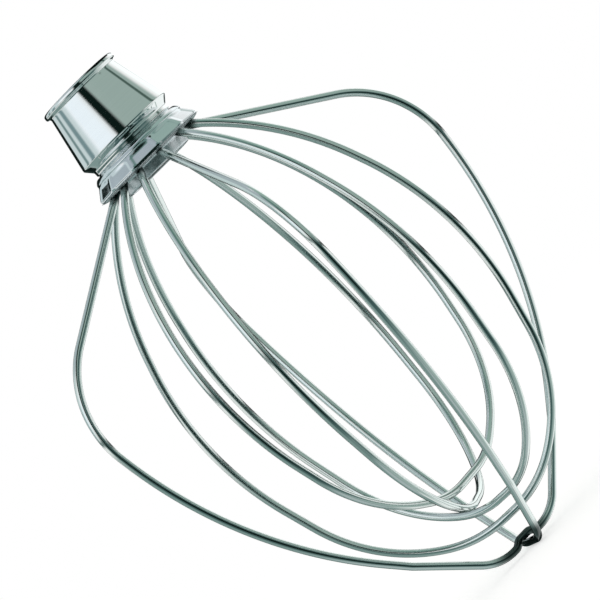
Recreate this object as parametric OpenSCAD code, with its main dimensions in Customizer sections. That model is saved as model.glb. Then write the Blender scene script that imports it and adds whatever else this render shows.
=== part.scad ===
// Six-wire whip attachment for a stand mixer.
// The origin is the centre of the shaft bore's mouth, +Z points out of the bore
// towards the mixer, and the wire cage hangs along -Z. Millimetres.

/* [Whip] */
// Length of the whip from the top of its rim to the tip of its cage
whip_length = 185.4; // [172:0.2:198]

/* [Drive shaft] */
// Diameter of the mixer's beater shaft
shaft_d = 12.7; // [11:0.1:14]
// Play between the shaft and the bore, on the diameter
shaft_play = 0.2; // [0.1:0.05:0.5]
// Depth of the blind bore
bore_depth = 25; // [22:0.5:27]
// Wall of the shaft sleeve
sleeve_wall = 2; // [1.5:0.1:2.5]
// Width of the bayonet slot for the shaft's cross pin
slot_w = 5.2; // [4:0.1:6]
// Depth of the slot's straight run below the mouth
slot_depth = 9; // [7:0.5:12]
// How far the slot turns at its lower end, in degrees
slot_turn = 22; // [15:1:25]
// Direction that the slot faces, in degrees
slot_facing = 90; // [0:15:345]

/* [Hub shell] */
// Outer radius of the rolled rim
rim_r = 13.5; // [12.8:0.1:15]
// Diameter of the rolled bead at the rim
bead_d = 1.8; // [1.4:0.1:2.2]
// Outer radius of the cup just under the bead
cup_top_r = 12.3; // [12:0.1:12.8]
// Outer radius of the cup at its widest, low edge
cup_low_r = 16.3; // [15.2:0.1:18]
// Length of the cup's conical wall
cup_length = 18.4; // [15:0.1:21]
// Height of the bevel that turns the cup in to its neck
bevel_h = 2.3; // [1.5:0.1:3]
// Length of the straight neck
neck_h = 1.5; // [1:0.1:2.5]
// Outer radius of the neck
neck_r = 14.3; // [13.8:0.1:15]
// Sheet thickness of the spun shell
shell_wall = 0.8; // [0.6:0.05:1]
// Height of the bead's centre over the bore's mouth
rim_rise = 1; // [0:0.1:2]

/* [Wire clamp] */
// Widest radius of the flared skirt
skirt_r = 19.3; // [18.8:0.1:21]
// Height of the flared skirt
skirt_h = 6.5; // [5.5:0.1:7.5]
// Height of the skirt's upright lip
skirt_lip = 0.7; // [0.4:0.1:1]
// Wall of the skirt
skirt_wall = 1.3; // [1.2:0.05:1.6]
// Depth of the flats pressed between the wires
flat_depth = 0.55; // [0.3:0.05:0.7]
// Diameter of the rib pressed over each wire
rib_d = 2.6; // [1.8:0.1:3]
// Radius of the boss under the core
boss_r = 12; // [11.6:0.1:13]
// How far the boss stands below the core's rim
boss_h = 3.4; // [3:0.1:4.4]
// Height of the core's rim below the skirt
core_rim_h = 0.5; // [0.4:0.1:1]
// Width of the shoulder that the skirt rests on
core_shoulder = 0.9; // [0.6:0.1:1.2]
// Chamfer under the core's rim
core_chamfer = 0.3; // [0.1:0.05:0.35]
// Thickness of the retaining ring
ring_t = 1; // [0.8:0.1:1.2]
// Play of seated parts
seat_play = 0.1; // [0.05:0.01:0.15]

/* [Wires] */
// Diameter of the round wire
wire_d = 2.4; // [2:0.05:2.6]
// Distance of the circle on which the wires leave the hub from the skirt's edge
seat_inset = 2.8; // [2.3:0.1:3.3]
// Depth of that circle below the core's rim
seat_depth = 1.1; // [0.8:0.1:1.5]
// Length of wire from that circle to its end inside the core
root_length = 7.5; // [6:0.1:7.8]
// Clearance between the two wires that cross at the tip
cross_play = 0.3; // [0.2:0.05:0.5]
// How far the flat-ended wire is crimped up over the other
nest_rise = 1.3; // [1:0.1:1.6]
// Half width of that crimp
nest_half_w = 4; // [3.6:0.1:4.4]
// Radius of the crimp's small bends
nest_bend = 2.4; // [2:0.1:3]

/* [Outer wires] */
// Radius of the corner of the broad shoulder
shoulder_r = 71; // [66:0.5:76]
// Drop of the shoulder's corner below the seat circle
shoulder_drop = 33; // [28:0.5:40]
// Bend radius of the shoulder
shoulder_bend = 31; // [24:0.5:36]
// Radius of the corner half-way down the side
waist_r = 62.5; // [58:0.5:66]
// Drop of that corner below the seat circle
waist_drop = 96; // [85:0.5:105]
// Bend radius of the side
waist_bend = 140; // [110:1:160]
// Radius of the corner where the side turns to the end
heel_r = 30; // [26:0.5:34]
// Height of that corner over the bottom
heel_rise = 18; // [15:0.5:21]
// Bend radius at that corner
heel_bend = 15; // [10:0.5:20]
// Radius of the corner of the flat end
toe_r = 11; // [10.6:0.1:13]
// Bend radius of that corner
toe_bend = 14.5; // [12:0.5:15]

/* [Inner wires] */
// Gap in height between the flat-ended wire and the deepest inner wire
inner_gap = 8.2; // [6.5:0.1:10]
// How much higher the second inner wire ends than the deepest one
second_rise = 5.5; // [4:0.1:8]
// How much higher the third inner wire ends than the second one
third_rise = 4; // [3.5:0.1:8]
// How much higher the shortest wire ends than the third inner one
shortest_rise = 6.5; // [4:0.1:8]
// Radius of the belly corner of the deepest inner wire
deepest_belly_r = 54.5; // [48:0.5:58]
// Radius of the belly corner of the second inner wire
second_belly_r = 52.5; // [48:0.5:58]
// Radius of the belly corner of the third inner wire
third_belly_r = 53.5; // [48:0.5:58]
// Radius of the belly corner of the shortest wire
shortest_belly_r = 53.5; // [48:0.5:58]
// Share of the way out to the belly at which the flare ends
flare_r_share = 0.5; // [0.4:0.01:0.6]
// Drop of the flare's end, as a share of the wire's drop
flare_drop_share = 0.12; // [0.1:0.01:0.16]
// Drop of the belly corner, as a share of the wire's drop
belly_drop_share = 0.485; // [0.44:0.005:0.53]
// Radius of the lower corner, as a share of the belly's
haunch_r_share = 0.705; // [0.65:0.005:0.76]
// Drop of the lower corner, as a share of the wire's drop
haunch_drop_share = 0.89; // [0.86:0.005:0.92]
// Radius of the end's corner, as a share of the belly's
end_r_share = 0.22; // [0.18:0.01:0.28]
// Bend radii of these four corners, as shares of the wire's drop
bend_shares = [0.65, 0.65, 0.365, 0.245]; // [0.2:0.005:0.7]

/* [Hidden] */
$fn = 96;
wire_ends = 12;
bore_r = (shaft_d + shaft_play) / 2;
sleeve_r = bore_r + sleeve_wall;
shell_base_z = rim_rise - cup_length - bevel_h - neck_h;
floor_z = shell_base_z + shell_wall;
neck_top_z = shell_base_z + neck_h;
cup_low_z = neck_top_z + bevel_h;
skirt_low_z = shell_base_z - seat_play - skirt_h;
core_low_z = skirt_low_z - seat_play - core_rim_h;
boss_low_z = core_low_z - boss_h;
sleeve_low_z = boss_low_z + seat_play;
seat_z = core_low_z - seat_depth;
seat_r = skirt_r - seat_inset;
// The sleeve's foot stands this far below the ring's groove.
foot_h = 0.9;
ring_z = sleeve_low_z + foot_h;
groove_depth = 0.8;
groove_r = sleeve_r - groove_depth;
boss_wall = 1.4;
recess_r = boss_r - boss_wall;
ring_split = 2;
// The collar of the sleeve clamps the shell's floor against the core.
collar_r = neck_r - shell_wall - 2 * seat_play;
collar_t = 1.6;
// Keeps the wall's thickness through the bevel.
bevel_rise = shell_wall / 2;
skirt_step = 0.2;
skirt_top_r = neck_r + skirt_step;
rib_sink = 0.3;
rib_share = 0.8;
socket_run_out = 4;
cut_over = 1;
wire_r = wire_d / 2;
joint_proud = 0.02;
least_leg = 0.01;
nest_slope_w = 1.8;

// Each wire is one loop through the axis. Hand-bent loops never hang quite
// true, so each has its own azimuth, lean in its plane and sway out of it, in degrees.
shoulder_angles = [18, 0, 0];
tip_angles = [-76, 0, 0.25];
inner_angles = [[-15, 0, 1.5], [-45, -1.5, 0.5], [-106.5, 1.5, -1.5], [-134, 0.75, -0.25]];
wire_angles = concat([shoulder_angles, tip_angles], inner_angles);

// Drops of the wires' centre lines below the seat circle.
tip_drop = whip_length - (rim_rise + bead_d / 2) + seat_z - wire_r;
shoulder_wire_drop = tip_drop - wire_d - cross_play + nest_rise;
deepest_drop = shoulder_wire_drop - inner_gap;
second_drop = deepest_drop - second_rise;
third_drop = second_drop - third_rise;
shortest_drop = third_drop - shortest_rise;
inner_drops = [deepest_drop, second_drop, third_drop, shortest_drop];
belly_radii = [deepest_belly_r, second_belly_r, third_belly_r, shortest_belly_r];

// ---- Bent wire -------------------------------------------------------------
// A run is a list of corners [x, z, bend radius] in the XZ plane.

function heading(run, i) = atan2(run[i + 1][1] - run[i][1], run[i + 1][0] - run[i][0]);
function leg(run, i) = norm([run[i + 1][0] - run[i][0], run[i + 1][1] - run[i][1]]);
function wrapped(a) = a > 180 ? a - 360 : a < -180 ? a + 360 : a;
function turn(run, i) = wrapped(heading(run, i) - heading(run, i - 1));
function is_corner(run, i) = i > 0 && i < len(run) - 1;
function wanted(run, i) = is_corner(run, i) ? run[i][2] * tan(abs(turn(run, i)) / 2) : 0;
// Two bends that crowd the leg between them both get smaller.
function room(run, i) = min(1, leg(run, i) / max(least_leg, wanted(run, i) + wanted(run, i + 1)));
function setback(run, i) = is_corner(run, i) ? wanted(run, i) * min(room(run, i - 1), room(run, i)) : 0;
function along(a, distance) = distance * [cos(a), sin(a)];
function corner_xz(run, i) = [run[i][0], run[i][1]];

module straight(run, i) {
    a = heading(run, i);
    start = corner_xz(run, i) + along(a, setback(run, i));
    length = leg(run, i) - setback(run, i) - setback(run, i + 1);
    if (length > least_leg)
        translate([start[0], 0, start[1]]) rotate([0, 90 - a, 0]) cylinder(h = length, r = wire_r, $fn = 24);
}

module bend(run, i) {
    a = heading(run, i - 1);
    t = turn(run, i);
    side = sign(t);
    bend_r = setback(run, i) / tan(abs(t) / 2);
    start = corner_xz(run, i) - along(a, setback(run, i));
    centre = start + along(a + 90 * side, bend_r);
    first = a - 90 * side + min(0, t);
    translate([centre[0], 0, centre[1]]) rotate([90, 0, 0]) rotate([0, 0, first])
        rotate_extrude(angle = abs(t)) translate([bend_r, 0]) circle(r = wire_r, $fn = 24);
}

// A ball a hair proud of the wire, which joins two stretches without a seam.
module joint(run, i, side) {
    a = heading(run, side > 0 ? i : i - 1);
    centre = corner_xz(run, i) + along(a, side * setback(run, i));
    translate([centre[0], 0, centre[1]]) sphere(r = wire_r + joint_proud, $fn = 32);
}

module bent_wire(run) {
    for (i = [0 : len(run) - 2]) straight(run, i);
    for (i = [1 : len(run) - 2]) {
        bend(run, i);
        joint(run, i, -1);
        joint(run, i, 1);
    }
}

// ---- Outlines of the loops -------------------------------------------------
// Half an outline runs from the root in the core out and down to the end's
// corner; the whole loop is the half and its mirror image.

function mirrored(half) = [for (i = [len(half) - 1 : -1 : 0]) [-half[i][0], half[i][1], half[i][2]]];
function root_of(next) =
    let (a = atan2(next[1], next[0] - seat_r))
    [seat_r - root_length * cos(a), -root_length * sin(a), 0];
function loop(corners) =
    let (half = concat([root_of(corners[0])], corners))
    concat(half, mirrored(half));

function outer_half(drop) = [
    [shoulder_r, -shoulder_drop, shoulder_bend],
    [waist_r, -waist_drop, waist_bend],
    [heel_r, heel_rise - drop, heel_bend],
    [toe_r, -drop, toe_bend]
];
// The crimp at the middle of the flat end, over the tip wire.
nest_half = [
    [nest_half_w, -shoulder_wire_drop, nest_bend],
    [nest_half_w - nest_slope_w, nest_rise - shoulder_wire_drop, nest_bend]
];
function inner_half(i) =
    let (drop = inner_drops[i], belly = belly_radii[i])
    [
        [seat_r + flare_r_share * (belly - seat_r), -flare_drop_share * drop, bend_shares[0] * drop],
        [belly, -belly_drop_share * drop, bend_shares[1] * drop],
        [haunch_r_share * belly, -haunch_drop_share * drop, bend_shares[2] * drop],
        [end_r_share * belly, -drop, bend_shares[3] * drop]
    ];

loops = concat(
    [loop(concat(outer_half(shoulder_wire_drop), nest_half)), loop(outer_half(tip_drop))],
    [for (i = [0 : 3]) loop(inner_half(i))]
);

module in_wire_place(i)
    translate([0, 0, seat_z]) rotate([0, 0, wire_angles[i][0]]) rotate([wire_angles[i][2], 0, 0])
        rotate([0, wire_angles[i][1], 0]) children();

module wire(i) in_wire_place(i) bent_wire(loops[i]);

// A bore in line with the wire's first or last leg, for its root to slide into.
module socket(run, tip, next) {
    a = atan2(run[next][1] - run[tip][1], run[next][0] - run[tip][0]);
    start = corner_xz(run, tip) - along(a, seat_play);
    translate([start[0], 0, start[1]]) rotate([0, 90 - a, 0])
        cylinder(h = root_length + socket_run_out, r = wire_r + seat_play);
}

module sockets(i) in_wire_place(i) {
    last = len(loops[i]) - 1;
    socket(loops[i], 0, 1);
    socket(loops[i], last, last - 1);
}

// ---- Hub -------------------------------------------------------------------

// Spun cup with a rolled bead, a bevel to the neck and a floor with a hole.
module hub_shell() color("#c9d2d3") {
    rotate_extrude() translate([rim_r - bead_d / 2, rim_rise]) circle(d = bead_d);
    rotate_extrude() polygon([
        [cup_top_r, rim_rise],
        [cup_low_r, cup_low_z],
        [neck_r, neck_top_z],
        [neck_r, shell_base_z],
        [sleeve_r + seat_play, shell_base_z],
        [sleeve_r + seat_play, floor_z],
        [neck_r - shell_wall, floor_z],
        [neck_r - shell_wall, neck_top_z + bevel_rise],
        [cup_low_r - shell_wall - bevel_rise, cup_low_z],
        [cup_top_r - shell_wall, rim_rise]
    ]);
}

// Slot for the shaft's cross pin: straight down, then a short turn.
module bayonet_slot() {
    reach = sleeve_r + cut_over;
    rotate([0, 0, slot_facing]) translate([0, 0, -slot_depth]) {
        translate([0, -slot_w / 2, 0]) cube([reach, slot_w, slot_depth + cut_over]);
        rotate([0, 0, -slot_turn]) rotate_extrude(angle = slot_turn) square([reach, slot_w]);
        rotate([0, 0, -slot_turn]) translate([0, -slot_w / 2, 0]) cube([reach, slot_w, slot_w]);
    }
}

// Machined sleeve: blind bore, bayonet slot, the collar that clamps the shell's
// floor against the core, and a groove for the retaining ring at its foot.
module shaft_sleeve() color("#b9c0c2") {
    difference() {
        union() {
            translate([0, 0, sleeve_low_z]) cylinder(h = -sleeve_low_z, r = sleeve_r);
            translate([0, 0, floor_z]) cylinder(h = collar_t, r = collar_r);
        }
        translate([0, 0, -bore_depth]) cylinder(h = bore_depth + cut_over, r = bore_r);
        bayonet_slot();
        translate([0, 0, ring_z]) difference() {
            cylinder(h = ring_t, r = sleeve_r + cut_over);
            translate([0, 0, -cut_over]) cylinder(h = ring_t + 2 * cut_over, r = groove_r);
        }
    }
}

// Cast core: holds the twelve wire roots, carries the skirt on its shoulder and
// ends in a boss with a recess for the retaining ring.
module wire_core() color("#aab6b9") {
    rest_r = skirt_r - skirt_wall - seat_play;
    rim_out_r = rest_r + core_shoulder;
    difference() {
        rotate_extrude() polygon([
            [sleeve_r + seat_play, shell_base_z],
            [skirt_top_r - skirt_wall - seat_play, shell_base_z],
            [rest_r, skirt_low_z + skirt_lip],
            [rest_r, core_low_z + core_rim_h],
            [rim_out_r, core_low_z + core_rim_h],
            [rim_out_r, core_low_z + core_chamfer],
            [rim_out_r - core_chamfer, core_low_z],
            [boss_r, core_low_z],
            [boss_r, boss_low_z],
            [recess_r, boss_low_z],
            [recess_r, ring_z + ring_t],
            [sleeve_r + seat_play, ring_z + ring_t]
        ]);
        for (i = [0 : len(loops) - 1]) sockets(i);
    }
}

// Pressed skirt: a flared collar with a flat between each two wires and a rib
// over each wire.
module wire_skirt() color("#b4c0c6") {
    top_z = shell_base_z - seat_play;
    lip_z = skirt_low_z + skirt_lip;
    slope = atan2(skirt_r - skirt_top_r, top_z - lip_z);
    slant = norm([skirt_r - skirt_top_r, top_z - lip_z]);
    mid_r = (skirt_r + skirt_top_r) / 2;
    mid_z = (top_z + lip_z) / 2;
    difference() {
        union() {
            difference() {
                rotate_extrude() polygon([
                    [0, top_z],
                    [skirt_top_r, top_z],
                    [skirt_r, lip_z],
                    [skirt_r, skirt_low_z],
                    [0, skirt_low_z]
                ]);
                for (k = [0 : wire_ends - 1]) rotate([0, 0, k * 360 / wire_ends])
                    translate([mid_r - flat_depth, 0, mid_z]) rotate([0, -slope, 0])
                        translate([0, -slant, -slant]) cube([slant, 2 * slant, 2 * slant]);
            }
            for (k = [0 : wire_ends - 1]) rotate([0, 0, (k + 0.5) * 360 / wire_ends])
                translate([mid_r - rib_sink, 0, mid_z]) rotate([0, -slope, 0])
                    cylinder(h = slant * rib_share, d = rib_d, center = true);
        }
        rotate_extrude() polygon([
            [0, top_z + cut_over],
            [skirt_top_r - skirt_wall, top_z + cut_over],
            [skirt_top_r - skirt_wall, top_z],
            [skirt_r - skirt_wall, lip_z],
            [skirt_r - skirt_wall, skirt_low_z - cut_over],
            [0, skirt_low_z - cut_over]
        ]);
    }
}

// Split ring that snaps into the sleeve's groove inside the boss.
module retaining_ring() color("#8f989b") translate([0, 0, ring_z]) difference() {
    cylinder(h = ring_t, r = recess_r - 3 * seat_play);
    translate([0, 0, -cut_over]) cylinder(h = ring_t + 2 * cut_over, r = groove_r + seat_play);
    rotate([0, 0, slot_facing]) translate([0, -ring_split / 2, -cut_over])
        cube([recess_r, ring_split, ring_t + 2 * cut_over]);
}

// ---- Wires -----------------------------------------------------------------

// Broad wire with shoulders and a flat end, crimped over the tip wire.
module shoulder_wire() color("#a9b3b5") wire(0);
// Deepest wire, which crosses under the flat-ended one.
module tip_wire() color("#a4afb1") wire(1);
// Four nested loops of one family, deepest first.
module inner_wire_deepest() color("#9faaad") wire(2);
module inner_wire_second() color("#9ba7a9") wire(3);
module inner_wire_third() color("#97a3a6") wire(4);
module inner_wire_shortest() color("#939fa2") wire(5);

hub_shell();
shaft_sleeve();
wire_core();
wire_skirt();
retaining_ring();
shoulder_wire();
tip_wire();
inner_wire_deepest();
inner_wire_second();
inner_wire_third();
inner_wire_shortest();
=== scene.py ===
"""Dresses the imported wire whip: polished wires, a chromed hub and a soft studio.

Every length is in metres in the model's own frame: the origin is the centre of
the shaft bore's mouth, +Z points out of the bore, and the cage hangs along -Z.
"""

from functools import partial

import bpy
import numpy as np
from bpy.props import FloatProperty, FloatVectorProperty, IntProperty, PointerProperty
from bpy.types import Operator, Panel, PropertyGroup
from mathutils import Matrix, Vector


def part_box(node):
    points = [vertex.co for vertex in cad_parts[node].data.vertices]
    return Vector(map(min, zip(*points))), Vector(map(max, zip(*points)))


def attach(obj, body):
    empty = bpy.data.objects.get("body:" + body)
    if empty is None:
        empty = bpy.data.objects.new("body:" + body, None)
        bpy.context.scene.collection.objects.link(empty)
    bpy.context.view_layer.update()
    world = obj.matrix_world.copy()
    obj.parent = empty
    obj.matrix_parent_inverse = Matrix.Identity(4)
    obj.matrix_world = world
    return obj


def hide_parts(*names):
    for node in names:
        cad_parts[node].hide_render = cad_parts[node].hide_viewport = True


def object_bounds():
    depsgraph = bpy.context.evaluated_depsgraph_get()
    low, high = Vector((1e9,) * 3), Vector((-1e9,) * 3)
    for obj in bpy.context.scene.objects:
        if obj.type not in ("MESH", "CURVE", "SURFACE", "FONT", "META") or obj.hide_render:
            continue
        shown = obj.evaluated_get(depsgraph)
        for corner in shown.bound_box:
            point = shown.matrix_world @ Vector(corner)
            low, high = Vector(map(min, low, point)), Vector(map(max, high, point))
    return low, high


bl_info = {
    "name": "Wire whip",
    "version": (1, 0, 0),
    "blender": (4, 5, 0),
    "location": "3D View > Sidebar > Whip",
    "description": "Builds the polished wires and the chromed hub of a stand mixer's whip",
    "category": "Add Mesh",
}

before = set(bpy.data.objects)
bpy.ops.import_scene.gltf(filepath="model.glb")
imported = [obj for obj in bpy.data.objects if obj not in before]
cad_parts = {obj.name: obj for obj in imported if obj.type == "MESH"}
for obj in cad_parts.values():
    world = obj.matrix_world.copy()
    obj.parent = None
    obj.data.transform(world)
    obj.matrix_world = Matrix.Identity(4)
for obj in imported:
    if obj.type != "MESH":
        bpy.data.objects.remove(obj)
CAD_BOUNDS = [list(corner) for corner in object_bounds()]
MM = 0.001

# Corners of the solids that settle the levels and the widest radii.
SHELL_LOW, SHELL_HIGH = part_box("hub_shell")
SKIRT_LOW, SKIRT_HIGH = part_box("wire_skirt")
CORE_LOW, CORE_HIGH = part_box("wire_core")
RING_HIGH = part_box("retaining_ring")[1]
TIP_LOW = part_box("tip_wire")[0]


# ---- Sizes and colours -------------------------------------------------------


def linear(code):
    """A colour written as sRGB hex, such as "#8fa29c", as linear red, green and blue."""
    srgb = np.array([int(code[i : i + 2], 16) for i in (1, 3, 5)]) / 255
    low = srgb / 12.92
    high = ((srgb + 0.055) / 1.055) ** 2.4
    return tuple(float(v) for v in np.where(srgb <= 0.04045, low, high))


def length(name, about, value_mm):
    """A length property whose default is given in millimetres."""
    return FloatProperty(name=name, description=about, default=value_mm * MM, unit="LENGTH", precision=5)


def lengths(name, about, values_mm):
    """A property of several lengths, such as a point, whose defaults are given in millimetres."""
    values = [value * MM for value in values_mm]
    return FloatVectorProperty(name=name, description=about, default=values, size=len(values), unit="LENGTH")


def shares(name, across, values):
    """A corner of an inner loop, given in shares of that loop's own size."""
    about = f"Share of the {across}, share of the drop, bend radius as a share of the drop"
    return FloatVectorProperty(name=name, description=about, default=values)


def turns(name, degrees):
    """The three turns that hang a loop, whose defaults are given in degrees."""
    about = "Azimuth, lean in the loop's plane, sway out of it"
    return FloatVectorProperty(name=name, description=about, default=np.radians(degrees), unit="ROTATION")


def colour(name, about, code):
    """A colour property whose default is given as sRGB hex."""
    value = linear(code)
    return FloatVectorProperty(name=name, description=about, default=value, subtype="COLOR", min=0, max=1)


class WhipWireSizes(PropertyGroup):
    """Sizes of the wires, of their seats in the hub and of the way they nest."""

    wire_d: length("Wire diameter", "Diameter of the round wire", 2.4)
    seat_inset: length("Seat inset", "Distance of the seat circle from the skirt's edge", 2.8)
    seat_depth: length("Seat depth", "Depth of the seat circle below the skirt", 1.7)
    root_length: length("Root length", "Length of wire from the seat circle to its end in the core", 7.5)
    cross_play: length("Crossing play", "Clearance between the wires that cross at the tip", 0.3)
    nest_rise: length("Crimp rise", "How far the flat end is crimped up over the tip wire", 1.3)
    inner_gap: length("Inner gap", "Height between the flat end and the deepest inner wire", 8.2)
    inner_steps: lengths("Inner steps", "Height from each inner wire to the next shorter one", (5.5, 4, 6.5))
    segments: IntProperty(name="Segments", description="Faces around a wire", default=40, min=12, max=96)
    spacing: length("Ring spacing", "Distance between two rings of faces along a wire", 0.55)


class WhipOutlines(PropertyGroup):
    """Corners of the loops.

    An outer loop's corner is its distance from the axis, its height and its bend
    radius. The height is over the seat circle, or over the loop's bottom where the
    description says so.
    """

    shoulder: lengths("Shoulder", "Corner of the broad shoulder", (71, -33, 31))
    waist: lengths("Waist", "Corner half-way down the side", (62.5, -96, 140))
    heel: lengths("Heel", "Corner where the side turns to the end, up from the bottom", (30, 18, 15))
    toe: lengths("Toe", "Corner of the flat end, up from the bottom", (11, 0, 14.5))
    crimp_low: lengths("Crimp's foot", "Corner where the crimp starts, up from the bottom", (4, 0, 2.4))
    crimp_high: lengths(
        "Crimp's top", "Corner of the crimp's top without its rise, up from the bottom", (2.2, 0, 2.4)
    )
    belly_radii: lengths(
        "Belly radii",
        "Distance of each inner wire's belly corner from the axis, deepest first",
        (54.5, 52.5, 53.5, 53.5),
    )
    flare: shares("Flare", "way from the seat to the belly", (0.5, 0.12, 0.65))
    belly: shares("Belly", "belly radius", (1, 0.485, 0.65))
    haunch: shares("Haunch", "belly radius", (0.705, 0.89, 0.365))
    end: shares("End", "belly radius", (0.22, 1, 0.245))


class WhipLoopTurns(PropertyGroup):
    """How each loop is turned about the hub."""

    shoulder: turns("Shoulder wire", (18, 0, 0))
    tip: turns("Tip wire", (-76, 0, 0.25))
    deepest: turns("Deepest inner wire", (-15, 0, 1.5))
    second: turns("Second inner wire", (-45, -1.5, 0.5))
    third: turns("Third inner wire", (-106.5, 1.5, -1.5))
    shortest: turns("Shortest inner wire", (-134, 0.75, -0.25))


class WhipHubSizes(PropertyGroup):
    """Sizes of the spun shell, the pressed skirt and the cast core."""

    rim_r: length("Rim radius", "Outer radius of the rolled rim", 13.5)
    bead_d: length("Bead", "Diameter of the rolled bead at the rim", 1.8)
    cup_top_r: length("Cup's top radius", "Radius of the cup just under the bead", 12.3)
    bevel_h: length("Bevel", "Height of the bevel under the cup", 2.3)
    neck_r: length("Neck radius", "Radius of the neck", 14.3)
    neck_h: length("Neck height", "Height of the neck", 1.5)
    shell_wall: length("Shell's wall", "Sheet thickness of the spun shell", 0.8)
    hole_r: length("Sleeve's hole", "Radius of the hole for the sleeve in the shell and the core", 8.55)
    skirt_top_r: length("Skirt's top radius", "Radius of the skirt where it starts", 14.5)
    skirt_lip: length("Skirt's lip", "Height of the skirt's upright lip", 0.7)
    skirt_wall: length("Skirt's wall", "Wall of the skirt", 1.3)
    groove_h: length("Groove", "Height of the groove between the neck and the skirt's collar", 0.6)
    groove_depth: length("Groove's depth", "Depth of that groove", 0.8)
    collar_h: length("Collar", "Height of the round collar above the skirt's flats", 1.7)
    collar_bulge: length("Collar's bulge", "How far the collar stands out", 0.45)
    flat_depth: length("Flat depth", "Depth of the flats between the wires", 0.55)
    flat_run: length("Flat's run", "Height over which a flat deepens below the collar", 1.4)
    rib_w: length("Rib width", "Width of the rib over each wire", 2.6)
    rib_h: length("Rib height", "How far each rib stands out", 0.2)
    rib_run: length("Rib's run", "Height over which a rib rises at each of its ends", 1.2)
    boss_r: length("Boss radius", "Radius of the boss under the core", 12)
    boss_wall: length("Boss wall", "Wall of the boss around the retaining ring", 1.4)
    boss_draft: length("Boss draft", "How much narrower the boss is at its foot", 0.3)
    core_rim_h: length("Core's rim", "Height of the core's rim below the skirt", 0.5)
    core_bevel_w: length("Rim's bevel", "Width of the bevel under the core's rim", 1.6)
    play: length("Play", "Play between the core and the skirt", 0.1)


class WhipFinish(PropertyGroup):
    """Colours of the bare metals."""

    wire: colour("Wire", "Drawn stainless wire, electropolished", "#e1e8e5")
    chrome: colour("Chrome", "Bright chrome on the spun shell", "#ebeeed")
    skirt: colour("Skirt", "Chrome on the pressed skirt", "#e2e7e9")
    cast: colour("Core", "Die-cast aluminium, tumbled", "#dde2e5")
    turned: colour("Sleeve", "Turned steel", "#b9bcbc")
    spring: colour("Ring", "Spring steel", "#85898a")


class WhipStage(PropertyGroup):
    """The camera, the flag over the rim, the floor and the soft light."""

    distance: length("Camera distance", "Distance from the target to the camera", 1238)
    focal: FloatProperty(
        name="Focal length",
        description="In mm, on a sensor 36 mm wide",
        default=260,
        unit="CAMERA",
    )
    target: lengths("Target", "Point that the camera looks at", (1.97, -0.96, -86.7))
    back: FloatVectorProperty(
        name="Back",
        description="Direction from the target to the camera",
        default=(0.0133, -0.9998, 0.0116),
        subtype="DIRECTION",
    )
    up: FloatVectorProperty(
        name="Up",
        description="Direction that the camera holds upwards",
        default=(0.7042, 0.0176, 0.7098),
        subtype="DIRECTION",
    )
    flag_low: lengths("Flag's near corner", "Near left corner of the black flag", (3, -15.5, 4.5))
    flag_high: lengths("Flag's far corner", "Far right corner of the black flag", (20.5, 2, 4.5))
    floor: colour("Floor", "Pale floor", "#f2f2f0")
    floor_r: length("Floor radius", "Radius of the pale floor", 1100)
    world: FloatProperty(
        name="World",
        description="Level of the soft light from all around",
        default=0.6,
        min=0,
        max=1,
        subtype="FACTOR",
    )


GROUPS = {
    "whip_wires": WhipWireSizes,
    "whip_outlines": WhipOutlines,
    "whip_turns": WhipLoopTurns,
    "whip_hub": WhipHubSizes,
    "whip_finish": WhipFinish,
    "whip_stage": WhipStage,
}


# ---- Curves ------------------------------------------------------------------


def rounded(corners, spacing):
    """Points along a run of straight legs joined by arcs, and the heading at each point.

    corners is an array of (x, z, bend radius). A bend takes up bend radius times
    tan(turn / 2) of each leg beside it, and two bends that crowd a leg both shrink
    to fit. A point on an arc is the arc's centre plus its radius at right angles
    to the heading. Points that fall together are kept once.
    """
    spots = corners[:, :2]
    legs = np.diff(spots, axis=0)
    leg_lengths = np.hypot(legs[:, 0], legs[:, 1])
    headings = np.arctan2(legs[:, 1], legs[:, 0])
    turn = (np.diff(headings) + np.pi) % (2 * np.pi) - np.pi
    wanted = np.concatenate([[0], corners[1:-1, 2] * np.tan(np.abs(turn) / 2), [0]])
    room = np.minimum(1, leg_lengths / np.maximum(wanted[:-1] + wanted[1:], 1e-9))
    setback = wanted * np.concatenate([[0], np.minimum(room[:-1], room[1:]), [0]])
    points, facing = [], []
    for i, heading in enumerate(headings):
        along = np.array([np.cos(heading), np.sin(heading)])
        straight = leg_lengths[i] - setback[i] - setback[i + 1]
        steps = np.linspace(0, straight, max(2, int(straight / spacing)), endpoint=False)
        points.append(spots[i] + along * (setback[i] + steps[:, None]))
        facing.append(np.full(len(steps), heading))
        if i < len(turn) and setback[i + 1] > 0:
            side = np.sign(turn[i])
            radius = setback[i + 1] / np.tan(abs(turn[i]) / 2)
            across = np.array([-along[1], along[0]]) * side
            centre = spots[i + 1] - along * setback[i + 1] + across * radius
            count = max(4, int(radius * abs(turn[i]) / spacing))
            angles = heading + side * np.linspace(0, abs(turn[i]), count, endpoint=False)
            points.append(centre + radius * side * np.stack([np.sin(angles), -np.cos(angles)], 1))
            facing.append(angles)
    points.append(spots[-1:])
    facing.append(headings[-1:])
    points, facing = np.vstack(points), np.concatenate(facing)
    kept = np.concatenate([[True], np.hypot(*np.diff(points, axis=0).T) > 1e-7])
    return points[kept], facing[kept]


def eased(value):
    """A ramp from 0 to 1 without a corner at either end: 3 v squared less 2 v cubed."""
    value = np.clip(value, 0, 1)
    return value * value * (3 - 2 * value)


def run_length(points):
    """Distance along a run of points to each of them."""
    return np.concatenate([[0], np.cumsum(np.linalg.norm(np.diff(points, axis=0), axis=1))])


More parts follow.
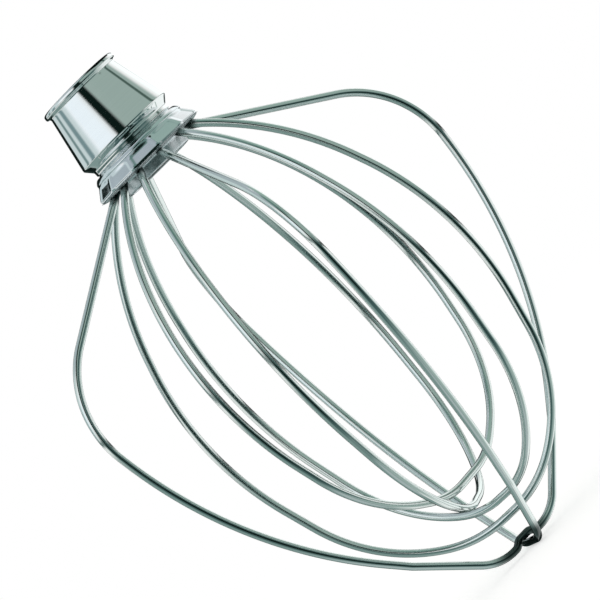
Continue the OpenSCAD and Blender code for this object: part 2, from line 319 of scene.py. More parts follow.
def turned_about(axis, angle):
    """Rotation matrix about the X, Y or Z axis by the right-hand rule."""
    c, s = np.cos(angle), np.sin(angle)
    a, b = [(1, 2), (2, 0), (0, 1)]["XYZ".index(axis)]
    matrix = np.eye(3)
    matrix[[a, a, b, b], [a, b, a, b]] = c, -s, s, c
    return matrix


# ---- Meshes ------------------------------------------------------------------


def grid_faces(rows, columns, closed_rows=False, closed_columns=True):
    """Four-sided faces of a grid of points, whose rows and columns may close on themselves."""
    row = np.arange(rows if closed_rows else rows - 1)[:, None]
    column = np.arange(columns if closed_columns else columns - 1)[None, :]
    after_row, after_column = (row + 1) % rows, (column + 1) % columns
    faces = [row * columns + column, row * columns + after_column]
    faces += [after_row * columns + after_column, after_row * columns + column]
    return np.stack(faces, -1).reshape(-1, 4)


def fan_faces(pole, ring, columns, turned=False):
    """Three-sided faces from a pole's point to the ring of points that starts at ring."""
    column = np.arange(columns)
    sides = [ring + column, ring + (column + 1) % columns]
    return np.stack([np.full(columns, pole), *(sides[::-1] if turned else sides)], -1)


def shade_smooth(mesh, sharp_deg):
    """Shades a mesh smooth but for edges sharper than sharp_deg."""
    mesh.polygons.foreach_set("use_smooth", np.ones(len(mesh.polygons), bool))
    mesh.set_sharp_from_angle(angle=np.radians(sharp_deg))


def smooth_mesh(name, points, faces, uv, material, sharp_deg=40):
    """A mesh object that is smooth but for edges sharper than sharp_deg.

    faces is a list of arrays of faces, and uv has one row for each point.
    """
    mesh = bpy.data.meshes.new(name)
    mesh.from_pydata(points.tolist(), [], sum([some.tolist() for some in faces], []))
    layer = mesh.uv_layers.new(name="Surface")
    corners = np.concatenate([some.ravel() for some in faces])
    layer.data.foreach_set("uv", uv[corners].astype(np.float32).ravel())
    shade_smooth(mesh, sharp_deg)
    mesh.materials.append(material)
    mesh.update()
    piece = bpy.data.objects.new(name, mesh)
    bpy.context.scene.collection.objects.link(piece)
    return piece


def placed(piece, node):
    """Lets a piece stand for a CAD node, whose mesh it hides, and ride on the one body."""
    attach(piece, "root")
    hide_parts(node)


def closed_profile(corners, spacing=0.3 * MM):
    """A closed section from its corners, each (radius, height, bend radius), in anticlockwise order."""
    corners = np.array(corners)
    middle = (corners[0] + corners[-1]) / 2
    middle[2] = 0
    return rounded(np.vstack([middle, corners, middle]), spacing)[0][:-1]


def revolved(name, profile, material, sides=192, swell=None):
    """A closed profile of (radius, height) carried round the Z axis.

    A point is (r cos a, r sin a, z) for the angle a. swell, where given, is a
    function of (radius, height, angle) that returns the radius to use instead.
    The mesh's UV map holds the distance around and along the profile, in metres.
    """
    radius, height = profile[:, 0][:, None], profile[:, 1][:, None]
    angle = np.linspace(0, 2 * np.pi, sides, endpoint=False)[None, :]
    radius = radius + 0 * angle if swell is None else swell(radius, height, angle)
    points = np.stack([radius * np.cos(angle), radius * np.sin(angle), height + 0 * angle], -1)
    around = np.abs(angle - np.pi) * profile[:, 0].mean()
    along = run_length(profile)[:, None]
    uv = np.stack([around + 0 * along, along + 0 * around], -1)
    faces = grid_faces(len(profile), sides, closed_rows=True)
    return smooth_mesh(name, points.reshape(-1, 3), [faces], uv.reshape(-1, 2), material)


# Radii of the two rings that close a wire's end, as shares of the wire's radius.
END_RINGS = np.array([0.8, 0.97])


def wire_tube(name, corners, turn, seat_z, sizes, material):
    """A round wire carried along a loop of corners.

    A point is the loop's point plus the wire's radius times cos(a) across the
    bend and sin(a) out of the loop's plane. Each end closes over two smaller rings
    in one point. Then the loop leans, sways and turns to its azimuth.
    The UV map holds the distance from the wire's nearer end and around it.
    """
    radius, around = sizes.wire_d / 2, sizes.segments
    centre, heading = rounded(corners, sizes.spacing)
    rows = np.concatenate([[0, 0], np.arange(len(centre)), [len(centre) - 1] * 2])
    ring = np.full(len(rows), radius)
    ring[[0, 1]] = ring[[-1, -2]] = radius * END_RINGS
    angle = np.linspace(0, 2 * np.pi, around, endpoint=False)[None, :]
    across = ring[:, None] * np.cos(angle)
    out = ring[:, None] * np.sin(angle)
    spot, facing = centre[rows], heading[rows][:, None]
    x, z = spot[:, :1] - across * np.sin(facing), spot[:, 1:] + across * np.cos(facing)
    flat = np.stack([x, out, z], -1).reshape(-1, 3)
    poles = np.insert(centre[[0, -1]], 1, 0, axis=1)
    azimuth, lean, sway = turn
    hang = turned_about("Z", azimuth) @ turned_about("X", sway) @ turned_about("Y", lean)
    points = np.vstack([flat, poles]) @ hang.T + [0, 0, seat_z]
    along = run_length(centre)
    along = np.minimum(along, along[-1] - along)[rows][:, None]
    uv = np.stack([along + 0 * angle, np.abs(angle - np.pi) * radius + 0 * along], -1).reshape(-1, 2)
    uv = np.vstack([uv, np.zeros((2, 2))])
    first_pole, last_ring = len(flat), len(flat) - around
    faces = [
        grid_faces(len(rows), around)[:, ::-1],
        fan_faces(first_pole, 0, around),
        fan_faces(first_pole + 1, last_ring, around, turned=True),
    ]
    return smooth_mesh(name, points, faces, uv, material, sharp_deg=60)


def merged_copy(node, name, material):
    """A copy of a CAD node with its loose triangles merged and its round faces smooth."""
    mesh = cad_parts[node].data.copy()
    mesh.name = name
    mesh.materials.clear()
    mesh.materials.append(material)
    piece = bpy.data.objects.new(name, mesh)
    bpy.context.scene.collection.objects.link(piece)
    weld = piece.modifiers.new("Merge", "WELD")
    weld.merge_threshold = 0.001 * MM
    with bpy.context.temp_override(object=piece, active_object=piece):
        bpy.ops.object.modifier_apply(modifier=weld.name)
    shade_smooth(piece.data, 30)
    return piece


# ---- Materials ---------------------------------------------------------------


def add(tree, kind, inputs=(), **settings):
    """Adds a node. inputs maps a socket's name or number to a value or to another node's output."""
    node = tree.nodes.new(kind)
    for key, value in settings.items():
        setattr(node, key, value)
    for key, value in dict(inputs).items():
        if isinstance(value, bpy.types.NodeSocket):
            tree.links.new(value, node.inputs[key])
        else:
            node.inputs[key].default_value = value
    return node


def new_material(name):
    """An empty node material and its tree."""
    material = bpy.data.materials.new(name)
    material.use_nodes = True
    material.node_tree.nodes.clear()
    return material, material.node_tree


def per_metre(spacing_mm):
    """Noise scale at which one feature is about spacing_mm wide."""
    return 1 / (spacing_mm * MM)


# A metal's colour runs between these shares of its own from line to line, and its
# roughness between these levels of the noise that draws the lines.
DEEP, PALE = 0.93, 1.03
NOISE_LOW, NOISE_HIGH = 0.3, 0.7
# Colour of the painted shade on the wires.
PAINTED_SHADE = linear("#1d2a28")


def metal(name, tint, roughness, line_mm, lump_mm, lump_um, line_um, coordinates="UV", painted_shade_at=None):
    """A polished metal with fine lines from its making and a faint unevenness.

    line_mm is the size of one line in each direction of the coordinates: along and
    across the surface on its own UV map. lump_mm is the width of one soft lump.
    lump_um and line_um are the heights of lumps and lines in thousandths of a
    millimetre. The lines also vary the roughness between the two values given,
    and the colour by a few per cent. The last argument, where given, adds nodes
    that return where painted shade darkens the metal, 0 to 1. A colour's Mix node
    has its factor and two colours in sockets 0, 6 and 7, and its result in output 2.
    """
    material, tree = new_material(name)
    place = add(tree, "ShaderNodeTexCoord")
    stretch = [per_metre(size) for size in line_mm] + [1] * (3 - len(line_mm))
    lines_at = add(tree, "ShaderNodeMapping", {"Vector": place.outputs[coordinates], "Scale": stretch})
    lines = add(
        tree,
        "ShaderNodeTexNoise",
        {"Vector": lines_at.outputs[0], "Scale": 1, "Detail": 2, "Roughness": 0.6},
    )
    lumps = add(
        tree,
        "ShaderNodeTexNoise",
        {"Vector": place.outputs["Object"], "Scale": per_metre(lump_mm), "Detail": 1},
    )
    wear = add(
        tree,
        "ShaderNodeMapRange",
        {
            "Value": lines.outputs[0],
            "From Min": NOISE_LOW,
            "From Max": NOISE_HIGH,
            "To Min": roughness[0],
            "To Max": roughness[1],
        },
    )
    deep = (*(DEEP * v for v in tint), 1)
    pale = (*(min(1, PALE * v) for v in tint), 1)
    skin = add(tree, "ShaderNodeMix", {0: lines.outputs[0], 6: deep, 7: pale}, data_type="RGBA").outputs[2]
    # Painted shade: the colour darkens towards a dark teal wherever the given nodes say.
    if painted_shade_at:
        cover = painted_shade_at(tree, place)
        skin = add(tree, "ShaderNodeMix", {0: cover, 6: skin, 7: (*PAINTED_SHADE, 1)}, data_type="RGBA").outputs[2]
    lump_bump = add(
        tree,
        "ShaderNodeBump",
        {"Height": lumps.outputs[0], "Strength": 1, "Distance": lump_um * MM * MM},
    )
    line_bump = add(
        tree,
        "ShaderNodeBump",
        {
            "Height": lines.outputs[0],
            "Strength": 1,
            "Distance": line_um * MM * MM,
            "Normal": lump_bump.outputs[0],
        },
    )
    shader = add(
        tree,
        "ShaderNodeBsdfPrincipled",
        {
            "Base Color": skin,
            "Metallic": 1,
            "Roughness": wear.outputs[0],
            "Normal": line_bump.outputs[0],
        },
    )
    add(tree, "ShaderNodeOutputMaterial", {"Surface": shader.outputs[0]})
    return material


# Painted shade on the wires: full up to the first of these lengths from their ends,
# where they enter the core, and gone from the second. The same goes for the distance
# from the place at the tip where the two outer wires cross, whose painted shade is
# flatter than a ball and not quite as dark.
ROOT_SHADE_FULL, ROOT_SHADE_END = 6.5 * MM, 9.5 * MM
TIP_SHADE_PLACE = (0.5 * MM, -7.5 * MM, TIP_LOW.z + 2 * MM)
TIP_SHADE_FULL, TIP_SHADE_END = 8.5 * MM, 15 * MM
TIP_SHADE_FLATTENED = (1, 1, 1.8)
TIP_SHADE_COVER = 0.9


def painted_shade_places(tree, place):
    """Where painted shade darkens a wire, 0 to 1: where it leaves the casting, and where the two outer wires
    cross at the tip.
    """
    run = add(tree, "ShaderNodeSeparateXYZ", {0: place.outputs["UV"]})
    root = add(
        tree,
        "ShaderNodeMapRange",
        {"Value": run.outputs[0], "From Min": ROOT_SHADE_FULL, "From Max": ROOT_SHADE_END, "To Min": 1, "To Max": 0},
        interpolation_type="SMOOTHSTEP",
    )
    apart = add(
        tree, "ShaderNodeVectorMath", {0: place.outputs["Object"], 1: TIP_SHADE_PLACE}, operation="SUBTRACT"
    )
    scaled = add(tree, "ShaderNodeVectorMath", {0: apart.outputs[0], 1: TIP_SHADE_FLATTENED}, operation="MULTIPLY")
    far = add(tree, "ShaderNodeVectorMath", {0: scaled.outputs[0]}, operation="LENGTH").outputs["Value"]
    tip_shade = add(
        tree,
        "ShaderNodeMapRange",
        {"Value": far, "From Min": TIP_SHADE_FULL, "From Max": TIP_SHADE_END, "To Min": TIP_SHADE_COVER, "To Max": 0},
        interpolation_type="SMOOTHSTEP",
    )
    darker = add(tree, "ShaderNodeMath", {0: root.outputs[0], 1: tip_shade.outputs[0]}, operation="MAXIMUM")
    return darker.outputs[0]


def drawn_wire(finish):
    """Stainless spring wire, drawn through a die and electropolished.

    It is bright, with faint die lines along it, and carries painted shade at its
    roots, where it enters the cast core, and where the two outer wires cross at the tip.
    """
    return metal(
        "drawn_stainless_wire",
        finish.wire,
        roughness=(0.08, 0.16),
        line_mm=(18, 0.35),
        lump_mm=9,
        lump_um=4,
        line_um=0.5,
        painted_shade_at=painted_shade_places,
    )


def chromed_shell(finish):
    """Spun steel under bright chrome: a near mirror, with faint rings from spinning."""
    return metal(
        "spun_bright_chrome",
        finish.chrome,
        roughness=(0.03, 0.07),
        line_mm=(40, 0.5),
        lump_mm=7,
        lump_um=7,
        line_um=0.3,
    )


def chromed_skirt(finish):
    """Pressed steel under chrome: a softer mirror with small dents from the press."""
    return metal(
        "pressed_chrome",
        finish.skirt,
        roughness=(0.07, 0.14),
        line_mm=(6, 0.8),
        lump_mm=4,
        lump_um=9,
        line_um=0.6,
    )


def cast_aluminium(finish):
    """Die-cast aluminium, tumbled to a soft polish: bright and blurred, with a fine pebbled skin."""
    return metal(
        "tumbled_cast_aluminium",
        finish.cast,
        roughness=(0.32, 0.42),
        line_mm=(1.6, 1.2),
        lump_mm=2.5,
        lump_um=1,
        line_um=0.25,
    )


def turned_steel(finish):
    """Steel turned on a lathe: rings a quarter of a millimetre apart, drawn coarser than real feed marks."""
    return metal(
        "turned_steel",
        finish.turned,
        roughness=(0.22, 0.36),
        line_mm=(40, 40, 0.25),
        lump_mm=6,
        lump_um=3,
        line_um=2,
        coordinates="Object",
    )


def spring_steel(finish):
    """Hardened spring steel, oiled: dull, dark and a little mottled."""
    return metal(
        "oiled_spring_steel",
        finish.spring,
        roughness=(0.3, 0.42),
        line_mm=(3, 2, 2),
        lump_mm=2,
        lump_um=6,
        line_um=3,
        coordinates="Object",
    )


# ---- Loops of wire -----------------------------------------------------------


def whole_loop(half, seat_r, root_length):
    """The corners of a loop: a root in the core, half an outline, and its mirror image."""
    half = np.array(half, float)
    angle = np.arctan2(half[0, 1], half[0, 0] - seat_r)
    root = [seat_r - root_length * np.cos(angle), -root_length * np.sin(angle), 0]
    half = np.vstack([root, half])
    return np.vstack([half, half[::-1] * [-1, 1, 1]])


class Cage:
    """Where the loops of wire hang, from the settings and the CAD skirt and tip."""

    def __init__(self, scene):
        self.sizes = scene.whip_wires
        self.outlines = scene.whip_outlines
        self.seat_r = SKIRT_HIGH.x - self.sizes.seat_inset
        self.seat_z = SKIRT_LOW.z - self.sizes.seat_depth
        self.tip_drop = self.seat_z - TIP_LOW.z - self.sizes.wire_d / 2
        climb = self.sizes.wire_d + self.sizes.cross_play - self.sizes.nest_rise
        self.flat_drop = self.tip_drop - climb
        steps = np.cumsum([0, *self.sizes.inner_steps])
        self.inner_drops = self.flat_drop - self.sizes.inner_gap - steps

    def outer(self, drop, crimped):
        """An outer loop with its shoulder, waist, heel and flat end, crimped at the middle or not."""
        o = self.outlines
        bottom = np.array([0, -drop, 0])
        half = [o.shoulder, o.waist, bottom + o.heel, bottom + o.toe]
        if crimped:
            half += [bottom + o.crimp_low, bottom + o.crimp_high + np.array([0, self.sizes.nest_rise, 0])]
        return whole_loop(half, self.seat_r, self.sizes.root_length)

    def inner(self, i):
        """An inner loop, whose corners are shares of its belly radius and its drop."""
        o, drop, belly = self.outlines, self.inner_drops[i], self.outlines.belly_radii[i]
        half = [[self.seat_r + o.flare[0] * (belly - self.seat_r), -o.flare[1] * drop, o.flare[2] * drop]]
        half += [[c[0] * belly, -c[1] * drop, c[2] * drop] for c in (o.belly, o.haunch, o.end)]
        return whole_loop(half, self.seat_r, self.sizes.root_length)

    def build(self, node, corners, turn, material):
        """One wire in the place of its CAD node."""
        piece = wire_tube(node + "_polished", corners, turn, self.seat_z, self.sizes, material)
        placed(piece, node)


class WHIP_OT_outer_wires(Operator):
    """Builds the broad flat-ended wire and the tip wire that hooks under it"""

    bl_idname = "whip.outer_wires"
    bl_label = "Outer wires"

    def execute(self, context):
        cage, turn = Cage(context.scene), context.scene.whip_turns
        material = drawn_wire(context.scene.whip_finish)
        cage.build("shoulder_wire", cage.outer(cage.flat_drop, True), turn.shoulder, material)
        cage.build("tip_wire", cage.outer(cage.tip_drop, False), turn.tip, material)
        return {"FINISHED"}


class WHIP_OT_inner_wires(Operator):
    """Builds the four nested balloon wires"""

    bl_idname = "whip.inner_wires"
    bl_label = "Inner wires"

    def execute(self, context):
        cage, turn = Cage(context.scene), context.scene.whip_turns
        material = drawn_wire(context.scene.whip_finish)
        for i, name in enumerate(("deepest", "second", "third", "shortest")):
            cage.build("inner_wire_" + name, cage.inner(i), getattr(turn, name), material)
        return {"FINISHED"}


# ---- Hub ---------------------------------------------------------------------


class WHIP_OT_hub_shell(Operator):
    """Builds the spun cup with its rolled bead, bevel and neck"""

    bl_idname = "whip.hub_shell"
    bl_label = "Hub shell"

    def execute(self, context):
        s = context.scene.whip_hub
        top, base, waist_r = SHELL_HIGH.z, SHELL_LOW.z, SHELL_HIGH.x
        neck_top = base + s.neck_h
        waist = neck_top + s.bevel_h
        floor_top = base + s.shell_wall
        bead_low, bead_bend = top - s.bead_d, 0.49 * s.bead_d
        wall, bevel_rise = s.shell_wall, s.shell_wall / 2
        # The wall thickens a little where it rolls into the bead.
        rolled_wall = 1.2 * wall
        crisp, neck_inside, waist_inside = 0.18 * MM, 0.4 * MM, 0.5 * MM
        neck_bend, waist_bend, under_bead = 0.7 * MM, 0.9 * MM, 1.1 * MM
        profile = closed_profile(
            [
                (s.cup_top_r, bead_low, under_bead),
                (s.rim_r, bead_low, bead_bend),
                (s.rim_r, top, bead_bend),
                (s.cup_top_r - rolled_wall, top, s.bead_d / 2),
                (waist_r - wall - bevel_rise, waist, waist_inside),
                (s.neck_r - wall, neck_top + bevel_rise, neck_inside),
                (s.neck_r - wall, floor_top, crisp),
                (s.hole_r, floor_top, crisp),
                (s.hole_r, base, crisp),
                (s.neck_r, base, crisp),
                (s.neck_r, neck_top, neck_bend),
                (waist_r, waist, waist_bend),
            ]
        )
        piece = revolved("hub_shell_chromed", profile, chromed_shell(context.scene.whip_finish), sides=256)
        placed(piece, "hub_shell")
        return {"FINISHED"}


WIRE_ENDS = 12
# The depth of a flat that reaches right across its side, as a share of the radius:
# a little over 1 - cos(15 degrees).
WHOLE_FLAT = 0.035
# How far from its middle a rib keeps its height, as a share of its half width.
RIB_CROWN = 0.3


def skirt_radius(s, radius, height, angle):
    """The skirt's radius at each (radius, height, angle) of its round section.

    The inner wall stays round. Below the round collar the outer wall shrinks
    towards a twelve-sided pyramid, as r cos(half side) / cos(angle from the flat's
    middle) does, and a rounded rib stands out where each wire enters, half-way
    between two flats. The collar bulges as half a circle does, and the groove over
    it is cut straight.
    """
    top, low, edge_r = SKIRT_HIGH.z, SKIRT_LOW.z, SKIRT_HIGH.x
    side = 2 * np.pi / WIRE_ENDS
    from_flat = (angle + side / 2) % side - side / 2
    flat = radius * np.cos(side / 2) / np.cos(from_flat)
    collar_top = top - s.groove_h
    start = collar_top - s.collar_h
    band = np.clip((collar_top - height) / s.collar_h, 0, 1)
    bulge = s.collar_bulge * np.sqrt(np.clip(1 - (2 * band - 1) ** 2, 0, 1))
    groove = s.groove_depth * (height > collar_top)
    pressed = eased((start - height) / s.flat_run) * np.minimum(s.flat_depth / (WHOLE_FLAT * radius), 1)
    from_rib = (side / 2 - np.abs(from_flat)) * radius
    across = eased(1 + RIB_CROWN - 2 * from_rib / s.rib_w)
    ends = eased((start - height) / s.rib_run) * eased((height - low) / s.rib_run)
    outer = radius - groove + bulge + (flat - radius) * pressed + s.rib_h * across * ends
    slope = (edge_r - s.skirt_top_r) / (top - low - s.skirt_lip)
    wall_middle = s.skirt_top_r - s.skirt_wall / 2 + (top - height) * slope
    return np.where(radius > wall_middle, outer, radius + 0 * angle)


class WHIP_OT_wire_skirt(Operator):
    """Builds the pressed skirt with its flats and ribs"""

    bl_idname = "whip.wire_skirt"
    bl_label = "Wire skirt"

    def execute(self, context):
        s = context.scene.whip_hub
        top, low, edge_r = SKIRT_HIGH.z, SKIRT_LOW.z, SKIRT_HIGH.x
        lip_top, wall = low + s.skirt_lip, s.skirt_wall
        crisp, lip_bend, top_bend = 0.1 * MM, 0.2 * MM, 0.25 * MM
        profile = closed_profile(
            [
                (s.skirt_top_r - wall, top, crisp),
                (edge_r - wall, lip_top, lip_bend),
                (edge_r - wall, low, crisp),
                (edge_r, low, lip_bend),
                (edge_r, lip_top, lip_bend),
                (s.skirt_top_r, top, top_bend),
            ],
            spacing=0.16 * MM,
        )
        material = chromed_skirt(context.scene.whip_finish)
        piece = revolved("wire_skirt_chromed", profile, material, sides=540, swell=partial(skirt_radius, s))
        placed(piece, "wire_skirt")
        return {"FINISHED"}


class WHIP_OT_wire_core(Operator):
    """Builds the cast core with its rim and boss"""

    bl_idname = "whip.wire_core"
    bl_label = "Wire core"

    def execute(self, context):
        s = context.scene.whip_hub
        top, low, rim_r = CORE_HIGH.z, CORE_LOW.z, CORE_HIGH.x
        rim_top = SKIRT_LOW.z - s.play
        rim_low = rim_top - s.core_rim_h
        rest_r = SKIRT_HIGH.x - s.skirt_wall - s.play
        top_r = s.skirt_top_r - s.skirt_wall - s.play
        recess_r = s.boss_r - s.boss_wall
        rim_edge, rest_edge, crisp, recess_edge = 0.03 * MM, 0.05 * MM, 0.1 * MM, 0.25 * MM
        bevel_edge, boss_edge, boss_fillet = 0.3 * MM, 0.4 * MM, 0.5 * MM
        profile = closed_profile(
            [
                (s.hole_r, top, crisp),
                (s.hole_r, RING_HIGH.z, crisp),
                (recess_r, RING_HIGH.z, crisp),
                (recess_r, low, recess_edge),
                (s.boss_r - s.boss_draft, low, boss_edge),
                (s.boss_r, rim_low, boss_fillet),
                (rim_r - s.core_bevel_w, rim_low, bevel_edge),
                (rim_r, rim_top, rim_edge),
                (rest_r, rim_top, rest_edge),
                (rest_r, SKIRT_LOW.z + s.skirt_lip, crisp),
                (top_r, top, crisp),
            ]
        )
        piece = revolved("wire_core_cast", profile, cast_aluminium(context.scene.whip_finish))
        placed(piece, "wire_core")
        return {"FINISHED"}


class WHIP_OT_shaft_sleeve(Operator):
    """Dresses the turned sleeve with its bore and bayonet slot"""

    bl_idname = "whip.shaft_sleeve"
    bl_label = "Shaft sleeve"

    def execute(self, context):
        piece = merged_copy("shaft_sleeve", "shaft_sleeve_turned", turned_steel(context.scene.whip_finish))
        placed(piece, "shaft_sleeve")
        return {"FINISHED"}


class WHIP_OT_retaining_ring(Operator):
    """Dresses the split ring in the boss"""

    bl_idname = "whip.retaining_ring"
    bl_label = "Retaining ring"

    def execute(self, context):
        material = spring_steel(context.scene.whip_finish)
        piece = merged_copy("retaining_ring", "retaining_ring_spring", material)
        placed(piece, "retaining_ring")
        return {"FINISHED"}


# ---- Stage -------------------------------------------------------------------

# Walls, cloths and softboxes around the whip, the nearest first. Bright metal
# sees them and the camera doesn't. Each has its span of azimuth in degrees, which
# runs from the camera's side, -Y, towards +X, then its span of elevation, the
# width of its soft edge in both, its colour and its level.
CARDS = {
    "camera_and_tripod": (-12, 12, -12, 52, 10, 8, "#0d1c19", 1),
    "dark_cloth_low": (-10, 33, -26, 1, 16, 8, "#0c1815", 1),
    "shaded_cloth": (-42, 64, -36, 8, 22, 14, "#4c6766", 1),
    "table_edge_left": (-140, -26, 3, 7, 10, 3, "#58706d", 1),
    "table_edge_right": (40, 178, -3, 1, 12, 2.5, "#15211f", 1),
    "door_gap": (95, 103, 2, 40, 5, 6, "#4a5f58", 1),
    "wall_stud_near": (-98, -84, 5, 29, 8, 6, "#7d969a", 1),
    "wall_stud_far": (-121, -111, 5, 24, 7, 6, "#778f90", 1),
    "softbox_left": (-68, -18, 14, 34, 22, 12, "#f0f8ff", 1.12),
    "dark_cloth_behind": (162, 200, -50, -2, 8, 4, "#283835", 1),
    "dark_door_behind": (160, 186, 10, 58, 8, 4, "#141f1d", 1),
    "softbox_right": (130, 184, -1, 30, 14, 3, "#fbffff", 1.2),
    "white_paper_right": (100, 178, -72, -4, 50, 8, "#f6fafa", 1.12),
    "dark_wall_behind": (-200, -142, -34, 38, 3, 6, "#121d1b", 1),
    "green_wall": (8, 118, 1, 36, 16, 14, "#a0b3ad", 1),
    "zenith": (-180, 180, 76, 90, 2, 10, "#bac2ca", 1),
    "dim_ceiling": (-16, 62, 32, 80, 40, 20, "#698781", 1),
    "green_ceiling": (40, 130, 30, 78, 30, 14, "#a0b8b0", 1),
    "pale_wall": (-150, -66, 6, 52, 12, 14, "#d3e0e2", 1),
    "pale_ceiling": (-180, 180, 46, 90, 2, 16, "#b4bfc5", 1),
    "grey_paper_low": (-104, 0, -80, -44, 24, 14, "#b7c3c4", 1),
    "grey_table": (-150, 24, -84, -6, 34, 14, "#869d9a", 1),
    "grey_table_right": (16, 140, -84, -20, 40, 24, "#a9bbb7", 1),
}
# Distance of the first card from the whip's middle, and from each card to the next, in metres.
CARD_DISTANCE, CARD_STEP = 1.5, 0.03
CARD_POINTS = 73
# Elevation in degrees at which a card stops, just short of straight up or down.
HIGHEST = 89.9


def card_material(name, tint, level, fade):
    """A plain glowing card whose edges fade to nothing over their shares of its width and height."""
    material, tree = new_material(name)
    place = add(tree, "ShaderNodeTexCoord")
    middle = (0.5, 0.5, 0)
    centred = add(tree, "ShaderNodeVectorMath", {0: place.outputs["UV"], 1: middle}, operation="SUBTRACT")
    positive = add(tree, "ShaderNodeVectorMath", {0: centred.outputs[0]}, operation="ABSOLUTE")
    split = add(tree, "ShaderNodeSeparateXYZ", {0: positive.outputs[0]})
    across, up = [
        add(
            tree,
            "ShaderNodeMapRange",
            {"Value": split.outputs[i], "From Min": 0.5 - fade[i], "From Max": 0.5, "To Min": 1, "To Max": 0},
            interpolation_type="SMOOTHSTEP",
        )
        for i in (0, 1)
    ]
    cover = add(tree, "ShaderNodeMath", {0: across.outputs[0], 1: up.outputs[0]}, operation="MULTIPLY")
    glow = add(tree, "ShaderNodeEmission", {"Color": (*tint, 1), "Strength": level})
    clear = add(tree, "ShaderNodeBsdfTransparent")
    both = add(tree, "ShaderNodeMixShader", {0: cover.outputs[0], 1: clear.outputs[0], 2: glow.outputs[0]})
    add(tree, "ShaderNodeOutputMaterial", {"Surface": both.outputs[0]})
    return material


def hang_card(name, points, uv, count, material):
    """A card from its grid of count by count points, seen by bright metal alone."""
    faces = grid_faces(count, count, closed_columns=False)[:, ::-1]
    piece = smooth_mesh(name, points.reshape(-1, 3), [faces], uv.reshape(-1, 2), material)
    piece.visible_camera = piece.visible_diffuse = piece.visible_shadow = False


def curved_card(name, order, values, centre):
    """A card curved around the whip.

    A point is the centre plus the card's own radius along the direction of an
    azimuth and an elevation, which run over the card's span and its soft edges.
    """
    left, right, low, high, soft_across, soft_up, code, level = values
    left, right = left - soft_across / 2, right + soft_across / 2
    low, high = max(low - soft_up / 2, -HIGHEST), min(high + soft_up / 2, HIGHEST)
    u, v = np.meshgrid(np.linspace(0, 1, CARD_POINTS), np.linspace(0, 1, CARD_POINTS))
    azimuth = np.radians(left + (right - left) * u - 90)
    elevation = np.radians(low + (high - low) * v)
    out = np.cos(elevation)
    ways = np.stack([out * np.cos(azimuth), out * np.sin(azimuth), np.sin(elevation)], -1)
    points = centre + (CARD_DISTANCE + CARD_STEP * order) * ways
    fade = (soft_across / (right - left), soft_up / (high - low))
    material = card_material(name, linear(code), level, fade)
    hang_card(name, points, np.stack([u, v], -1), CARD_POINTS, material)


def rim_flag(settings):
    """A small black card above the right half of the rim, which draws a dark line along the bead.

    A point is the card's low corner plus shares u and v of its width and depth.
    """
    u, v = np.meshgrid([0, 1], [0, 1])
    low, high = np.array(settings.flag_low), np.array(settings.flag_high)
    points = low + (high - low) * np.stack([u, v, 0 * u], -1)
    material = card_material("black_flag", linear("#0a1210"), 1, (0.2, 0.1))
    hang_card("black_flag", points, np.stack([u, v], -1), 2, material)


def seen_plainly(tree):
    """1 for a ray from the camera, off bright metal or through glass, and 0 for the rest."""
    ray = add(tree, "ShaderNodeLightPath").outputs
    camera, glossy, through = ray["Is Camera Ray"], ray["Is Glossy Ray"], ray["Is Transmission Ray"]
    seen = add(tree, "ShaderNodeMath", {0: camera, 1: glossy}, operation="MAXIMUM")
    return add(tree, "ShaderNodeMath", {0: seen.outputs[0], 1: through}, operation="MAXIMUM").outputs[0]


# The floor fades out between these shares of its reach.
FADE_START, FADE_END = 0.35, 0.95
# How far apart the tooth of its paper is: coarser than real paper's, so that it shows.
TOOTH_MM = 0.6
# Light that lifts the paper to white where it is looked at.
FLOOR_LIFT = 0.5


def floor_material(tint, reach):
    """Pale seamless paper: matt with a fine tooth, fading out at its edge and clear from below."""
    material, tree = new_material("pale_paper_floor")
    place = add(tree, "ShaderNodeTexCoord").outputs["Object"]
    out = add(tree, "ShaderNodeVectorMath", {0: place, 1: (1, 1, 0)}, operation="MULTIPLY")
    far = add(tree, "ShaderNodeVectorMath", {0: out.outputs[0]}, operation="LENGTH").outputs["Value"]
    near = add(
        tree,
        "ShaderNodeMapRange",
        {
            "Value": far,
            "From Min": FADE_START * reach,
            "From Max": FADE_END * reach,
            "To Min": 1,
            "To Max": 0,
        },
        interpolation_type="SMOOTHSTEP",
    )
    grain = add(tree, "ShaderNodeTexNoise", {"Vector": place, "Scale": per_metre(TOOTH_MM), "Detail": 2})
    tooth = add(tree, "ShaderNodeBump", {"Height": grain.outputs[0], "Distance": 0.02 * MM, "Strength": 0.3})
    matt = add(tree, "ShaderNodeBsdfDiffuse", {"Color": (*tint, 1), "Normal": tooth.outputs[0]})
    lift = add(tree, "ShaderNodeMath", {0: seen_plainly(tree), 1: FLOOR_LIFT}, operation="MULTIPLY")
    glow = add(tree, "ShaderNodeEmission", {"Color": (1, 1, 1, 1), "Strength": lift.outputs[0]})
    paper = add(tree, "ShaderNodeAddShader", {0: matt.outputs[0], 1: glow.outputs[0]})
    below = add(tree, "ShaderNodeNewGeometry").outputs["Backfacing"]
    shown = add(tree, "ShaderNodeMath", {0: near.outputs[0], 1: below}, operation="SUBTRACT", use_clamp=True)
    clear = add(tree, "ShaderNodeBsdfTransparent")
    both = add(tree, "ShaderNodeMixShader", {0: shown.outputs[0], 1: clear.outputs[0], 2: paper.outputs[0]})
    add(tree, "ShaderNodeOutputMaterial", {"Surface": both.outputs[0]})
    return material


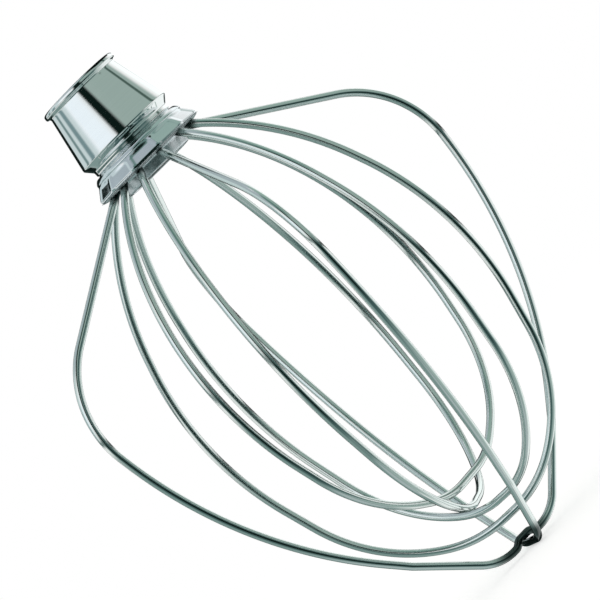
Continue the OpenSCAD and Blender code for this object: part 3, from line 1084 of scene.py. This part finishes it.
def floor_disc(settings, rings=8, sides=64):
    """A flat disc under the tip: points (r cos a, r sin a, z) on rings around the middle."""
    radius = settings.floor_r * np.linspace(0, 1, rings + 1)[1:, None]
    angle = np.linspace(0, 2 * np.pi, sides, endpoint=False)[None, :]
    z = CAD_BOUNDS[0][2]
    points = np.stack([radius * np.cos(angle), radius * np.sin(angle), z + 0 * radius * angle], -1)
    points = np.vstack([points.reshape(-1, 3), [[0, 0, z]]])
    material = floor_material(settings.floor, settings.floor_r)
    faces = [grid_faces(rings, sides)[:, ::-1], fan_faces(rings * sides, 0, sides)]
    floor = smooth_mesh("floor", points, faces, points[:, :2], material)
    floor.visible_glossy = False


def studio_world(level):
    """Soft light from all around, and plain white wherever it is looked at or reflected."""
    world = bpy.data.worlds.new("studio")
    bpy.context.scene.world = world
    world.use_nodes = True
    tree = world.node_tree
    tree.nodes.clear()
    light = add(tree, "ShaderNodeBackground", {"Color": (1, 1, 1, 1), "Strength": level})
    white = add(tree, "ShaderNodeBackground", {"Color": (1, 1, 1, 1), "Strength": 1})
    both = add(tree, "ShaderNodeMixShader", {0: seen_plainly(tree), 1: light.outputs[0], 2: white.outputs[0]})
    add(tree, "ShaderNodeOutputWorld", {"Surface": both.outputs[0]})


SENSOR_MM = 36


class WHIP_OT_camera(Operator):
    """Sets the camera"""

    bl_idname = "whip.camera"
    bl_label = "Camera"

    def execute(self, context):
        s = context.scene.whip_stage
        data = bpy.data.cameras.new("camera")
        data.lens, data.sensor_width = s.focal, SENSOR_MM
        camera = bpy.data.objects.new("camera", data)
        context.scene.collection.objects.link(camera)
        back = np.array(s.back) / np.linalg.norm(s.back)
        right = np.cross(s.up, back)
        right /= np.linalg.norm(right)
        up = np.cross(back, right)
        matrix = np.eye(4)
        matrix[:3, :3] = np.stack([right, up, back], 1)
        matrix[:3, 3] = np.array(s.target) + s.distance * back
        camera.matrix_world = Matrix(matrix)
        context.scene.camera = camera
        return {"FINISHED"}


class WHIP_OT_stage(Operator):
    """Sets the floor, the cards and the soft light"""

    bl_idname = "whip.stage"
    bl_label = "Stage"

    def execute(self, context):
        s = context.scene.whip_stage
        context.scene.view_settings.view_transform = "Standard"
        studio_world(s.world)
        floor_disc(s)
        centre = np.array([0, 0, (CAD_BOUNDS[0][2] + CAD_BOUNDS[1][2]) / 2])
        for order, (name, values) in enumerate(CARDS.items()):
            curved_card(name, order, values, centre)
        rim_flag(s)
        return {"FINISHED"}


# ---- Add-on ------------------------------------------------------------------

OPERATORS = (
    WHIP_OT_camera,
    WHIP_OT_outer_wires,
    WHIP_OT_inner_wires,
    WHIP_OT_hub_shell,
    WHIP_OT_wire_skirt,
    WHIP_OT_wire_core,
    WHIP_OT_shaft_sleeve,
    WHIP_OT_retaining_ring,
    WHIP_OT_stage,
)


class WHIP_PT_panel(Panel):
    """Lists the steps that build the whip"""

    bl_label = "Wire whip"
    bl_space_type = "VIEW_3D"
    bl_region_type = "UI"
    bl_category = "Whip"

    def draw(self, context):
        for operator in OPERATORS:
            self.layout.operator(operator.bl_idname)


def register():
    for name, group in GROUPS.items():
        bpy.utils.register_class(group)
        setattr(bpy.types.Scene, name, PointerProperty(type=group))
    for cls in (*OPERATORS, WHIP_PT_panel):
        bpy.utils.register_class(cls)


def unregister():
    for cls in (*OPERATORS, WHIP_PT_panel):
        bpy.utils.unregister_class(cls)
    for name, group in GROUPS.items():
        delattr(bpy.types.Scene, name)
        bpy.utils.unregister_class(group)


def main():
    """Builds the whip and its stage."""
    register()
    for operator in OPERATORS:
        _, name = operator.bl_idname.split(".")
        getattr(bpy.ops.whip, name)()


if __name__ == "__main__":
    main()
